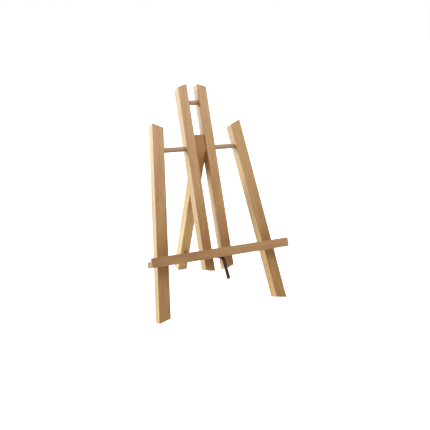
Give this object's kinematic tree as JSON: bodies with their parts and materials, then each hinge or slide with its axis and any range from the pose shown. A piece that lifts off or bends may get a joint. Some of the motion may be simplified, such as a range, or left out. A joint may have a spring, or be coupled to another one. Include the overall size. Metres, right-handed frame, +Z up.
{
  "type": "tabletop easel",
  "caption": "Small wooden A-frame tabletop easel with a lipped canvas ledge, a swinging rear leg and a leather stay strap.",
  "frame": {"origin": "middle of the footprint, on the surface that the feet stand on", "axes": "+Z up, +X to the right of someone facing the easel, +Y towards the rear leg"},
  "size_m": [0.272, 0.2276, 0.3915],
  "materials": {
    "beech": "bare sanded beech, matt",
    "dowel": "bare turned beech dowel, matt",
    "strap_leather": "dark brown leather, waxed",
    "zinc_steel": "bright zinc plated",
    "brad_steel": "plain bright steel",
    "dark_screw": "browned steel"
  },
  "bodies": {
    "front_frame": {"left_leg": "beech", "right_leg": "beech", "left_upright": "beech", "right_upright": "beech", "cross_dowel": "dowel", "top_dowel": "dowel", "ledge": "beech", "left_leg_screw": "zinc_steel", "right_leg_screw": "zinc_steel", "left_upright_screw": "zinc_steel", "right_upright_screw": "zinc_steel", "left_leg_brad": "brad_steel", "right_leg_brad": "brad_steel", "left_upright_brad": "brad_steel", "right_upright_brad": "brad_steel", "left_top_brad": "brad_steel", "right_top_brad": "brad_steel", "stay_strap": "strap_leather", "ledge_strap_screw": "dark_screw"},
    "rear_leg": {"rear_leg": "beech", "rear_strap_screw": "dark_screw"}
  },
  "joints": [
    {"name": "rear_leg_fold", "type": "hinge", "parent": "front_frame", "child": "rear_leg", "pos_m": [0, 0.02332, 0.27827], "axis": [-1, 0, 0], "range_deg": [0, 40.5], "deforming": ["stay_strap"]}
  ]
}
